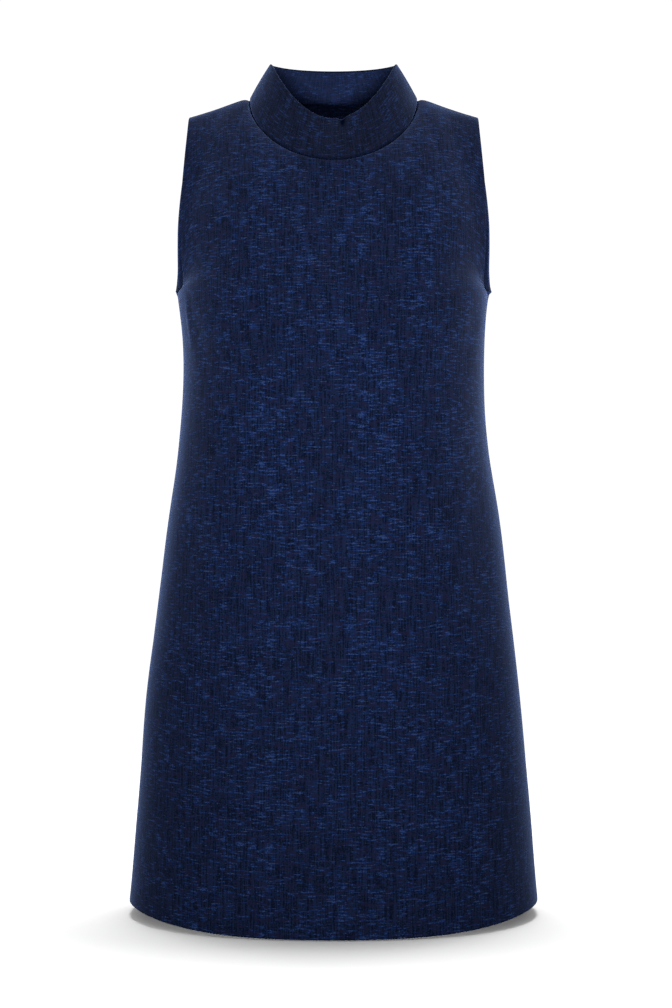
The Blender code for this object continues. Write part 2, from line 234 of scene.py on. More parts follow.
# Knit colours
GROUND_DARK = (0.00010, 0.00065, 0.0031, 1)
GROUND_LIGHT = (0.0013, 0.0030, 0.0102, 1)
SLUB_BLUE = (0.0012, 0.0054, 0.0255, 1)
SLUB_VIOLET = (0.0020, 0.0021, 0.0075, 1)
SLUB_BRIGHT = (0.0062, 0.0118, 0.0340, 1)
# pale colour mixed into the inner faces: painted light
INNER_PAINTED_LIGHT_COLOUR = (0.0100, 0.0160, 0.0450, 1)
# colour of the painted shadow at the neck seam and in the collar's pinch
PAINTED_SHADOW_COLOUR = (0.0002, 0.0006, 0.0022, 1)
SHEEN_TINT = (0.30, 0.46, 1.0, 1)
VIOLET_SHARE = 0.60        # how much of each colour its places take
BLUE_SHARE = 0.72
BRIGHT_SHARE = 0.75
COLLAR_PAINTED_SHADE = 0.66        # painted shade: the collar's colours are those of the panels times this
GRAIN_SHIFT = {FRONT: 0.0, BACK: 0.6}      # the panels' grain doesn't match at the side seams
INNER_FACE_SHIFT = 2.0           # the inner faces' grain, on panels and collar, is shifted this far across
INNER_PAINTED_LIGHT_GAIN = 1.55        # and their colours are multiplied by this: painted light on the shaded insides
INNER_PAINTED_LIGHT_SHARE = 0.16       # with this much of a pale colour mixed in, also painted light

# Knit noises: the size of their features across and along the cloth in millimetres, a shift that
# keeps them apart, and their detail. A row for each noise.
NOISE_COLUMNS = ("across", "along", "shift", "detail")
NOISES = {
    "ribs": (1.5, 30.0, 3.1, 1.0),
    "rows": (10.0, 1.7, 7.7, 1.0),
    "specks": (1.6, 1.4, 12.9, 0.0),
    "clumps": (24.0, 11.0, 21.3, 2.0),
    "patches": (55.0, 80.0, 33.7, 2.0),
    "hues": (12.0, 5.0, 45.1, 2.0),
}
NOISE_ROUGHNESS = 0.55
FINE_RIBS = 0.6            # the share of ribs, against specks, in the ground
CLUMPING, PATCHING = 0.42, 0.22     # how much the slubs crowd into clumps and patches
OFF_RIBS = 0.5             # how strong the slubs stay between the ribs
FLECK_ROWS = 0.62          # the share of rows, against specks, in the bright flecks
FLECK_CROWDING = 0.7       # how much of the slubs' crowding the flecks share
GROUND_BAND = (0.38, 0.62)     # the noise values between which each colour comes in
VIOLET_BAND = (0.50, 0.64)
SLUB_BAND = (0.53, 0.68)
SLUB_RIB_BAND = (0.34, 0.58)
BRIGHT_BAND = (0.63, 0.73)

# Knit surface
RELIEF = 0.0006            # depth of the ribs and slubs in metres
RELIEF_STRENGTH = 0.5
SLUB_RELIEF = 0.4          # how much the slubs add to it
SMOOTHEST, SPECK_ROUGHNESS = 0.84, 0.12
MATT = 0.9                 # roughness of the painted shadow at the neck seam and pinch, and of the floor
SHINE = 0.02               # as little as napped yarn has
SHEEN, SHEEN_SPREAD = 0.072, 0.38

# Stage
FLOOR_Z = -0.8500
FLOOR_HALF_SIDE = 1.3
FLOOR_COLOUR = (0.50, 0.50, 0.50, 1)
SURROUND_STRENGTH = 1.05
CAMERA_DISTANCE = 2.1
CAMERA_X = 0.0026
CAMERA_Z = -0.4221
VIEW_HEIGHT = 1.0584       # metres of the dress's mid plane from the view's top to its bottom
SENSOR = 36.0
FARTHEST_SEEN = 100

# Lamps: where each is, what it faces, its width and height in metres, its watts and the spread of
# its light in degrees. A row for each lamp.
LAMP_COLUMNS = ("name", "place", "aim", "size", "watts", "spread")
LAMPS = (
    ("overhead", (0.12, 0.66, 4.15), (0.12, 0.66, 0.0), (2.0, 1.1), 400, 180),
    ("low_front", (0.0, -2.3, -0.76), (0.0, 0.0, -0.14), (0.8, 0.12), 26, 60),
    ("left_side", (-0.95, 0.24, -0.10), (-0.16, 0.0, -0.16), (0.5, 0.5), 1.2, 50),
    ("right_side", (0.95, 0.24, -0.10), (0.16, 0.0, -0.16), (0.5, 0.5), 2.4, 50),
)


# ---------------------------------------------------------------- numbers and curves


def hermite(start, end, start_slope, end_slope, u):
    """The cubic from start to end that leaves and arrives with the given slopes."""
    u2, u3 = u * u, u * u * u
    return (
        (2 * u3 - 3 * u2 + 1) * start
        + (3 * u2 - 2 * u3) * end
        + (u3 - 2 * u2 + u) * start_slope
        + (u3 - u2) * end_slope
    )


def curve_through(knots, values, at):
    """A cubic through the values at rising knots, with slopes from their neighbours."""
    knots, values, at = (np.asarray(v, float) for v in (knots, values, at))
    slopes = np.gradient(values, knots, axis=0)
    i = np.clip(np.searchsorted(knots, at) - 1, 0, len(knots) - 2)
    step = knots[i + 1] - knots[i]
    u = (at - knots[i]) / step
    if values.ndim == 2:
        step, u = step[..., None], u[..., None]
    return hermite(values[i], values[i + 1], slopes[i] * step, slopes[i + 1] * step, u)


def smoothstep(x):
    """0 up to 0, 1 from 1 on, and between them three times the square less twice the cube."""
    x = np.clip(x, 0, 1)
    return x * x * (3 - 2 * x)


def unit(vectors):
    """The same directions, each one long."""
    return vectors / np.linalg.norm(vectors, axis=-1, keepdims=True)


def column(rows, names, name):
    """One named column of a table."""
    return np.array(rows)[:, names.index(name)]


def lengths_along(grid, axis):
    """Distance run along each row or column of a grid, 0 at its first point."""
    steps = np.linalg.norm(np.diff(grid, axis=axis), axis=-1)
    first = np.zeros_like(np.take(steps, [0], axis=axis))
    return np.concatenate([first, np.cumsum(steps, axis=axis)], axis=axis)


def grid_normals(grid):
    """Unit normals of a grid, from the cross products of its column and row directions."""
    return unit(np.cross(np.gradient(grid, axis=1), np.gradient(grid, axis=0)))


# ---------------------------------------------------------------- the panels' form


def section_point(share, drop, face):
    """A point of the level section at a drop: share runs from 0 at the centre to 1 at the side.

    The section is a superellipse. The hook adds to its width only at the top of the side seam.
    """
    drops = column(SECTIONS, SECTION_COLUMNS, "drop")
    depth_name = "front" if face == FRONT else "back"
    half = curve_through(drops, column(SECTIONS, SECTION_COLUMNS, "half_width"), drop)
    depth = curve_through(drops, column(SECTIONS, SECTION_COLUMNS, depth_name), drop)
    power = 2 / curve_through(drops, column(SECTIONS, SECTION_COLUMNS, "squareness"), drop)
    angle = share * math.pi / 2
    below = np.maximum(drop - UNDERARM_DROP, 0)
    hook = HOOK * share**HOOK_POWER * np.exp(-below / HOOK_LENGTH)
    x = half * np.sin(angle) ** power + hook
    y = face * depth * np.maximum(np.cos(angle), 0) ** power
    return np.stack([x, y, -drop + 0 * x], axis=-1)


def neck_seam(angle, face):
    """The seam between panels and collar: angle is 0 at the centre and a right angle at the side.

    From above it is a quarter of an ellipse, and its height follows a power of the angle's cosine.
    """
    reach = NECK_FRONT if face == FRONT else NECK_BACK
    cosine = np.maximum(np.cos(angle), 0)
    front_fall = -NECK_FRONT_DROP * cosine**NECK_FALL_POWER
    fall = front_fall if face == FRONT else NECK_BACK_RISE * cosine
    x = NECK_HALF_WIDTH * np.sin(angle)
    y = NECK_CENTRE_Y + face * reach * cosine
    return np.stack([x, y, NECK_SIDE_Z + fall], axis=-1)


def collar_top(angle, face):
    """The folded top edge of the collar, almost level behind and dipping low in front.

    From above it is a quarter of an ellipse, and its height follows a power of the angle's cosine.
    """
    reach = COLLAR_TOP_FRONT if face == FRONT else COLLAR_TOP_BACK
    cosine = np.maximum(np.cos(angle), 0)
    front_fall = -COLLAR_TOP_FRONT_DROP * cosine**COLLAR_TOP_FALL_POWER
    fall = front_fall if face == FRONT else COLLAR_TOP_BACK_RISE * cosine
    x = COLLAR_TOP_HALF_WIDTH * np.sin(angle)
    y = COLLAR_TOP_CENTRE_Y + face * reach * cosine
    return np.stack([x, y, COLLAR_TOP_SIDE_Z + fall], axis=-1)


def shoulder_height(half_width):
    """Height of the shoulder ridge: ever steeper towards the neck, then a roll down to the seam."""
    inward = SHOULDER_TIP - half_width
    ridge = SHOULDER_TIP_Z + SHOULDER_SLOPE * inward + SHOULDER_SWEEP * inward * np.abs(inward)
    return ridge - SHOULDER_ROLL * np.exp((NECK_HALF_WIDTH - half_width) / SHOULDER_ROLL_WIDTH)


def tip_share():
    """The share of the uncut columns that ends at the shoulder tip, with even cells either side."""
    cut = (SHOULDER_TIP - NECK_HALF_WIDTH) / (SHOULDER_VIRTUAL_TIP - NECK_HALF_WIDTH)
    neck_part = NECK_CELLS / (NECK_CELLS + SHOULDER_CELLS)
    return cut / (1 - neck_part * (1 - cut))


def top_point(share, face):
    """The top edge of a panel: half the neck seam, then the shoulder ridge and on past its tip."""
    side, share = np.where(share < 0, -1.0, 1.0), np.abs(share)
    neck_share = tip_share() * NECK_CELLS / (NECK_CELLS + SHOULDER_CELLS)
    angle = np.minimum(share / neck_share, 1) * math.pi / 2
    along = np.maximum(share - neck_share, 0) / (1 - neck_share)
    x = NECK_HALF_WIDTH + along * (SHOULDER_VIRTUAL_TIP - NECK_HALF_WIDTH)
    settled = np.minimum(along * SHOULDER_SEAM_SETTLES, 1)
    y = NECK_CENTRE_Y + (SHOULDER_SEAM_Y - NECK_CENTRE_Y) * settled
    ridge = np.stack([x, y, shoulder_height(x)], axis=-1)
    edge = np.where((share <= neck_share)[..., None], neck_seam(angle, face), ridge)
    return edge * np.stack([side, np.ones_like(side), np.ones_like(side)], axis=-1)


def softened_top(share, face):
    """The top edge with its corner at the side neck point rounded: a weighted mean along the edge."""
    offsets = np.linspace(-1, 1, CORNER_SAMPLES)
    weights = np.cos(offsets * math.radians(CORNER_FADE))
    weights = weights / weights.sum()
    return sum(w * top_point(share + o * CORNER_SOFTNESS, face) for w, o in zip(weights, offsets))


def chest_point(share, up, face):
    """The torso above the chest level, as if it had no armholes.

    Each column is a cubic that leaves the chest section upwards and arrives at the neck seam or
    over the shoulder ridge; up is 0 at the chest level and 1 at the top. The neck's corner is
    felt only near the top edge.
    """
    start = section_point(share, CHEST_DROP + 0 * share, face)
    above = section_point(share, CHEST_DROP - SLOPE_STEP + 0 * share, face)
    end = top_point(share, face)
    soft_end = softened_top(share, face)
    leaving = (above - start) / SLOPE_STEP * (soft_end - start)[..., 2:]
    blend = smoothstep(share / RIDGE_SHARE)
    tilt = np.radians(CENTRE_TILT[face] + (RIDGE_TILT - CENTRE_TILT[face]) * blend)
    reach = CENTRE_REACH + (RIDGE_REACH - CENTRE_REACH) * blend
    at_armhole = smoothstep((share - ARMHOLE_LEAN_FROM) / (1 - ARMHOLE_LEAN_FROM))
    lean = NECK_LEAN * np.clip(NECK_LEAN_SETTLES * share, 0, 1) + ARMHOLE_LEAN * at_armhole
    arriving = np.stack([-lean, -face * np.cos(tilt), np.sin(tilt)], axis=-1) * reach[..., None]
    column_point = hermite(start, soft_end, leaving, arriving, up[..., None])
    return column_point + (end - soft_end) * up[..., None] ** CORNER_POWER


def armhole_edge(up, face):
    """The armhole edge, a smooth curve through its table's places, spaced by their distance."""
    rows = FRONT_ARMHOLE if face == FRONT else BACK_ARMHOLE
    out = column(rows, ARMHOLE_COLUMNS, "half_width")
    away = column(rows, ARMHOLE_COLUMNS, "away_from_side") * face
    height = -column(rows, ARMHOLE_COLUMNS, "drop")
    places = np.stack([out, away, height], axis=-1)
    steps = np.linalg.norm(np.diff(places, axis=0), axis=1)
    knots = np.concatenate([[0], np.cumsum(steps)]) / steps.sum()
    return curve_through(knots, places, up)


def armhole_share(up):
    """How much of the uncut torso's columns each row keeps between its armholes."""
    scoop = np.maximum(1 - up / SCOOP_SHARE, 0) ** 2
    return NARROWEST + (1 - NARROWEST) * scoop + (tip_share() - NARROWEST) * up**2


def skirt_half(across, face):
    """The outer face from the hem to the chest level, with the hem's and underarm's curves."""
    drops = np.linspace(HEM_DROP, CHEST_DROP, SKIRT_ROWS + 1)[:-1]
    share, drop = np.meshgrid(across, drops)
    near_underarm = np.clip(1 - (drop - CHEST_DROP) / UNDERARM_RISE_LENGTH, 0, 1)
    near_underarm = near_underarm**UNDERARM_RISE_FADE_POWER
    near_hem = ((drop - CHEST_DROP) / (HEM_DROP - CHEST_DROP)) ** HEM_RISE_FADE_POWER
    underarm_rise = (CHEST_DROP - UNDERARM_DROP) * share**UNDERARM_RISE_POWER * near_underarm
    hem_rise = HEM_SIDE_RISE * np.sin(share * math.pi / 2) ** HEM_RISE_POWER * near_hem
    return section_point(share, drop - underarm_rise - hem_rise, face)


def chest_half(across, face):
    """The outer face from the chest level up, its rows cut short at the armhole edge."""
    levels = np.linspace(0, 1, CHEST_ROWS + 1)[:-1] ** CHEST_ROW_POWER
    levels = np.concatenate([levels, SEAM_LEVELS])
    part, up = np.meshgrid(across, levels)
    chest = chest_point(part * armhole_share(up), up, face)
    pull = armhole_edge(levels, face) - chest[:, -1]
    chest = chest + pull[:, None, :] * (part**ARMHOLE_REACH)[..., None]
    underarm_rise = (CHEST_DROP - UNDERARM_DROP) * across**UNDERARM_RISE_POWER
    chest[0] = section_point(across, CHEST_DROP - underarm_rise, face)
    return chest


def eased_join(half, row):
    """The same half panel with the rows around one row drawn smoothly together, its edge left as it is."""
    first, last = row - JOIN_REACH, row + JOIN_REACH
    for _ in range(JOIN_PASSES):
        eased = half[first - 1:last - 1] / 4 + half[first:last] / 2 + half[first + 1:last + 1] / 4
        half[first:last, :-1] = eased[:, :-1]
    return half


def mirrored(half):
    """The whole width of a piece, from its half on the +X side."""
    other = half[:, :0:-1] * np.array([-1.0, 1.0, 1.0])
    return np.concatenate([other, half], axis=1)


# ---------------------------------------------------------------- creases and edges


def crease_heights(across, height, creases):
    """Heights of all the creases: across each the height falls as a bell, and along it as a sine."""
    total = np.zeros_like(across)
    for row in creases:
        place = dict(zip(CREASE_COLUMNS, row))
        run = np.array([place["to_across"] - place["from_across"], place["to_z"] - place["from_z"]])
        length = np.linalg.norm(run)
        run = run / length
        along = (across - place["from_across"]) * run[0] + (height - place["from_z"]) * run[1]
        aside = (across - place["from_across"]) * run[1] - (height - place["from_z"]) * run[0]
        swell = np.sin(np.clip(along / length, 0, 1) * math.pi)
        total += place["height"] * swell * np.exp(-((aside / place["width"]) ** 2))
    return total


def unevenness(across, height):
    """Slow ripples: a sum of sines that differ in length and direction, so no stretch repeats."""
    total = np.zeros_like(across)
    for row in RIPPLES:
        ripple = dict(zip(RIPPLE_COLUMNS, row))
        turns = ripple["turns_across"] * across + ripple["turns_up"] * height
        total += RIPPLE_HEIGHT * np.sin(turns + ripple["start"])
    return total


def edge_distances(grid, underarm_row):
    """Distance of each point of a panel from its seams, and from its armhole edges and hem."""
    across = lengths_along(grid, 1)
    along = lengths_along(grid, 0)
    from_sides = np.minimum(across, across[:, -1:] - across)
    from_top = along[-1:] - along
    from_seams, from_free = from_top.copy(), along.copy()
    below = slice(0, underarm_row + 1)
    from_seams[below] = np.minimum(from_seams[below], from_sides[below])
    above = slice(underarm_row + 1, None)
    from_free[above] = np.minimum(from_free[above], from_sides[above])
    return from_seams, from_free


# ---------------------------------------------------------------- meshes


def quads(*corners):
    """Four-sided faces from four grids of point numbers, in their order round each face."""
    return np.stack([c.reshape(-1) for c in corners], axis=-1)


def piece_from(name, points, faces, grain, painted_shadow_mask):
    """A smooth piece from points and faces, with each point's place on the cloth and its painted shadow.

    The place is in millimetres. The painted shadow is 1 where the cloth lies deep in a seam or a pinch.
    """
    mesh = bpy.data.meshes.new(name)
    mesh.from_pydata(points.tolist(), [], faces.tolist())
    layer = mesh.uv_layers.new(name="grain")
    corners = np.empty(len(mesh.loops), np.int32)
    mesh.loops.foreach_get("vertex_index", corners)
    layer.data.foreach_set("uv", (grain[corners] * MM).astype(np.float32).ravel())
    painted_shadow_layer = mesh.attributes.new("painted_shadow_mask", "FLOAT", "POINT")
    painted_shadow_layer.data.foreach_set("value", painted_shadow_mask.astype(np.float32).ravel())
    mesh.shade_smooth()
    piece = bpy.data.objects.new(name, mesh)
    bpy.context.scene.collection.objects.link(piece)
    return piece


def rolled_edges(piece):
    """Rounds the edges of a closed shell, where its walls meet its rim."""
    roll = piece.modifiers.new("rolled_edges", "BEVEL")
    roll.width = EDGE_ROLL
    roll.segments = EDGE_ROLL_STEPS
    roll.limit_method = "ANGLE"
    roll.angle_limit = math.radians(EDGE_ROLL_ANGLE)


def shell_from(name, outer, inner, grain, painted_shadow_mask):
    """One closed shell from an outer and an inner grid, joined by a rim all round."""
    rows, columns = outer.shape[:2]
    index = np.arange(rows * columns).reshape(rows, columns)
    under = index + rows * columns
    faces = np.concatenate([
        quads(index[:-1, :-1], index[:-1, 1:], index[1:, 1:], index[1:, :-1]),
        quads(under[:-1, :-1], under[1:, :-1], under[1:, 1:], under[:-1, 1:]),
        quads(index[0, :-1], under[0, :-1], under[0, 1:], index[0, 1:]),
        quads(index[-1, 1:], under[-1, 1:], under[-1, :-1], index[-1, :-1]),
        quads(index[1:, 0], under[1:, 0], under[:-1, 0], index[:-1, 0]),
        quads(index[:-1, -1], under[:-1, -1], under[1:, -1], index[1:, -1]),
    ])
    points = np.concatenate([outer.reshape(-1, 3), inner.reshape(-1, 3)])
    grain = grain.reshape(-1, 2)
    # the inner wall's grain is shifted so that the knit paints it paler, as painted light
    grain = np.concatenate([grain, grain + [INNER_FACE_SHIFT, 0]])
    painted_shadow_mask = painted_shadow_mask.reshape(-1)
    return piece_from(name, points, faces, grain, np.concatenate([painted_shadow_mask, painted_shadow_mask]))


def panel(name, face, creases):
    """A panel: the form, its creases, the dips into its seams and an inner wall with its turnings."""
    across = np.linspace(0, 1, NECK_CELLS + SHOULDER_CELLS + 1)
    skirt, chest = skirt_half(across, face), chest_half(across, face)
    half = eased_join(np.concatenate([skirt, chest]), len(skirt))
    outer = mirrored(half) - np.array([0, face * SEAM_LAP, 0])
    underarm_row = len(skirt)

    middle = outer.shape[1] // 2
    across_cloth = lengths_along(outer, 1)
    across_cloth = across_cloth - across_cloth[:, middle:middle + 1]
    along_cloth = lengths_along(outer, 0)
    along_cloth = along_cloth - along_cloth[underarm_row]
    level = outer[underarm_row, :, 0]
    straight = across_cloth.copy()
    for row in range(underarm_row + 1, len(outer)):
        straight[row] = np.interp(outer[row, :, 0], level, across_cloth[underarm_row])
    grain = np.stack([straight, along_cloth], axis=-1) + GRAIN_SHIFT[face]

    from_seams, from_free = edge_distances(outer, underarm_row)
    normal = -face * grid_normals(outer)
    fade = smoothstep(np.minimum(from_seams, from_free + CREASE_EDGE_FADE / 2) / CREASE_EDGE_FADE)
    heights = crease_heights(across_cloth, outer[..., 2], creases)
    heights = (heights + unevenness(across_cloth, outer[..., 2])) * fade
    from_top = along_cloth[-1:] - along_cloth
    column_place = np.abs(np.arange(outer.shape[1]) - middle)
    at_neck = smoothstep((NECK_CELLS + NECK_SINK_FADE / 2 - column_place) / NECK_SINK_FADE)
    # painted shadow along the neck seam
    painted_shadow_mask = at_neck * np.exp(-((from_top / PAINTED_SHADOW_WIDTH) ** 2))
    sink = SIDE_SINK * np.exp(-((from_seams / SEAM_SINK_WIDTH) ** 2))
    sink += NECK_SINK[face] * at_neck * np.exp(-((from_top / SEAM_SINK_WIDTH) ** 2))
    outer = outer + normal * (heights - sink)[..., None]

    normal = -face * grid_normals(outer)
    for edge in (0, -1):
        normal[:underarm_row + 1, edge, 1] = 0
    for shoulder in (slice(0, SHOULDER_CELLS + 1), slice(-SHOULDER_CELLS - 1, None)):
        normal[-1, shoulder, 1] = 0
    from_hem = along_cloth - along_cloth[:1]
    turned = smoothstep((HEM_TURNING - from_hem) / TURNING_STEP)
    turned[underarm_row + 1:] = smoothstep((TURNING - from_free[underarm_row + 1:]) / TURNING_STEP)
    wall = WALL + (DOUBLED_WALL - WALL) * turned
    inner = outer - unit(normal) * wall[..., None]
    if face == BACK:
        outer, inner = outer[:, ::-1], inner[:, ::-1]
        grain, painted_shadow_mask = grain[:, ::-1], painted_shadow_mask[:, ::-1]
    return shell_from(name, outer, inner, grain, painted_shadow_mask)


def ring(edge):
    """A closed ring of points from an edge given on its right half, front to back and round."""
    quarter = np.linspace(0, math.pi / 2, NECK_CELLS + 1)
    right = np.concatenate([edge(quarter, FRONT), edge(quarter, BACK)[-2::-1]])
    left = right[-2:0:-1] * np.array([-1.0, 1.0, 1.0])
    return np.concatenate([right, left])


def pinch(across, below):
    """Depth of the collar's pinch: a bell across a short leaning line that starts at the fold.

    A lower ridge stands beside it, and both fade out as a bell below the fold.
    """
    aside = (across - PINCH_ACROSS - PINCH_LEAN * below) / PINCH_WIDTH
    ridge = PINCH_RIDGE * np.exp(-((aside + PINCH_RIDGE_ASIDE) ** 2))
    depth = PINCH_DEPTH * np.exp(-(aside**2)) - ridge
    return depth * np.exp(-((below / PINCH_LENGTH) ** 2))


def band_wall(base, top):
    """The collar's outer wall: straight from the neck seam to the fold, and bulged as a sine.

    The fold is lowered at the pinch and at the sides, and the lower edge laps over the panels.
    Also gives the direction up the band.
    """
    up = np.linspace(0, 1, COLLAR_ROWS + 1)[:, None, None]
    outward = unit((base - np.array([0, NECK_CENTRE_Y, 0])) * np.array([1.0, 1.0, 0.0]))
    wall = base + (top - base) * up + outward * COLLAR_BULGE * np.sin(math.pi * up)
    notch = PINCH_NOTCH * np.exp(-(((wall[..., 0] - PINCH_ACROSS) / PINCH_NOTCH_WIDTH) ** 2))
    to_side = np.clip(np.abs(wall[..., 0]) / COLLAR_TOP_HALF_WIDTH, 0, 1)
    tip_drop = COLLAR_TIP_DROP * to_side**COLLAR_TIP_POWER
    wall[..., 2] -= (notch * in_front(wall) + tip_drop) * up[..., 0] ** COLLAR_FOLD_POWER
    along = unit(np.gradient(wall, axis=0))
    towards_front = smoothstep((NECK_CENTRE_Y - base[:, 1:2]) / NECK_FRONT)
    lap = COLLAR_LAP[BACK] + (COLLAR_LAP[FRONT] - COLLAR_LAP[BACK]) * towards_front
    wall[0] -= along[0] * lap
    return wall, along


def in_front(points):
    """1 where points lie in front of the neck's centre, and 0 behind it."""
    return (points[..., 1] < NECK_CENTRE_Y).astype(float)


def collar(name):
    """The folded band: up its outer face, over a round fold, down its inner face and shut below."""
    base = ring(neck_seam)
    outer, along = band_wall(base, ring(collar_top))
    wrapped = np.concatenate([outer[:, -1:], outer, outer[:, :1]], axis=1)
    normal = grid_normals(wrapped)[:, 1:-1]
    climbed = lengths_along(outer, 0)
    dent = pinch(outer[..., 0], climbed[-1:] - climbed) * in_front(outer)
    sink = COLLAR_SINK * np.exp(-((climbed / SEAM_SINK_WIDTH) ** 2))
    outer = outer - normal * (dent + sink)[..., None]

    inner = outer - normal * DOUBLED_WALL
    centre = (outer[-1] + inner[-1]) / 2
    turn = np.linspace(0, math.pi, FOLD_STEPS + 1)[1:-1, None, None]
    fold = centre + DOUBLED_WALL / 2 * (np.cos(turn) * normal[-1] + np.sin(turn) * along[-1])
    loop = np.concatenate([outer, fold, inner[::-1]])

    round_cloth = lengths_along(base[None], 1)
    grain = np.stack(np.broadcast_arrays(round_cloth, lengths_along(loop, 0)), axis=-1)
    # the inner face is shifted so that it is painted paler, as painted light
    grain[len(outer) + len(fold):, :, 0] += INNER_FACE_SHIFT
    # painted shadow along the neck seam and in the pinch
    seam_painted_shadow = np.exp(-((climbed / PAINTED_SHADOW_WIDTH) ** 2))
    pinch_painted_shadow = np.clip(PINCH_PAINTED_SHADOW * dent / PINCH_DEPTH, 0, 1)
    painted_shadow_mask = np.zeros(loop.shape[:2])
    painted_shadow_mask[:len(outer)] = np.maximum(seam_painted_shadow, pinch_painted_shadow)

    rows, columns = loop.shape[:2]
    index = np.arange(rows * columns).reshape(rows, columns)
    index = np.concatenate([index, index[:, :1]], axis=1)
    index = np.concatenate([index, index[:1]])
    faces = quads(index[:-1, :-1], index[:-1, 1:], index[1:, 1:], index[1:, :-1])
    return piece_from(name, loop.reshape(-1, 3), faces, grain.reshape(-1, 2), painted_shadow_mask)


# ---------------------------------------------------------------- finishes


class Value:
    """A shader socket for use in Python expressions: each operator adds one Math node.

    The reflected forms let a number come first, as in 1 - mask.
    """

    def __init__(self, finish, socket):
        self.finish, self.socket = finish, socket

    def math(self, operation, first, second):
        return self.finish.node("ShaderNodeMath", {"operation": operation}, {0: first, 1: second})

    def __add__(self, other):
        return self.math("ADD", self, other)

    def __sub__(self, other):
        return self.math("SUBTRACT", self, other)

    def __rsub__(self, other):
        return self.math("SUBTRACT", other, self)

    def __mul__(self, other):
        return self.math("MULTIPLY", self, other)

    __radd__, __rmul__ = __add__, __mul__


class Finish:
    """A material that is built up node by node."""

    def __init__(self, name):
        self.material = bpy.data.materials.new(name)
        self.material.use_nodes = True
        self.tree = self.material.node_tree
        self.shader = self.tree.nodes["Principled BSDF"]
        self.surface = self.tree.nodes["Material Output"]

    def node(self, kind, settings, inputs, output=0):
        """Adds a node, makes its settings, then gives its sockets their values or links."""
        made = self.tree.nodes.new(kind)
        for name, value in settings.items():
            setattr(made, name, value)
        self.fill(made, inputs)
        return Value(self, made.outputs[output])

    def fill(self, made, inputs):
        """Gives a node's sockets their values or links."""
        for name, value in inputs.items():
            if isinstance(value, Value):
                self.tree.links.new(value.socket, made.inputs[name])
            else:
                made.inputs[name].default_value = value

    def mix(self, share, first, second):
        """A blend of two colours, by their places among the Mix node's sockets."""
        return self.node("ShaderNodeMix", {"data_type": "RGBA"}, {0: share, 6: first, 7: second}, 2)

    def between(self, value, band):
        """0 below the band, 1 above it and smooth across it."""
        return self.node("ShaderNodeMapRange", {"interpolation_type": "SMOOTHSTEP"}, {
            "Value": value, "From Min": band[0], "From Max": band[1],
        })


def knit_noise(cloth, grain, name):
    """A noise of the table, laid over the cloth by its grain."""
    noise = dict(zip(NOISE_COLUMNS, NOISES[name]))
    place = cloth.node("ShaderNodeMapping", {}, {
        "Vector": grain,
        "Location": (noise["shift"], -noise["shift"], 0),
        "Scale": (1 / noise["across"], 1 / noise["along"], 1),
    })
    return cloth.node("ShaderNodeTexNoise", {"noise_dimensions": "2D"}, {
        "Vector": place, "Scale": 1.0, "Detail": noise["detail"], "Roughness": NOISE_ROUGHNESS,
    })


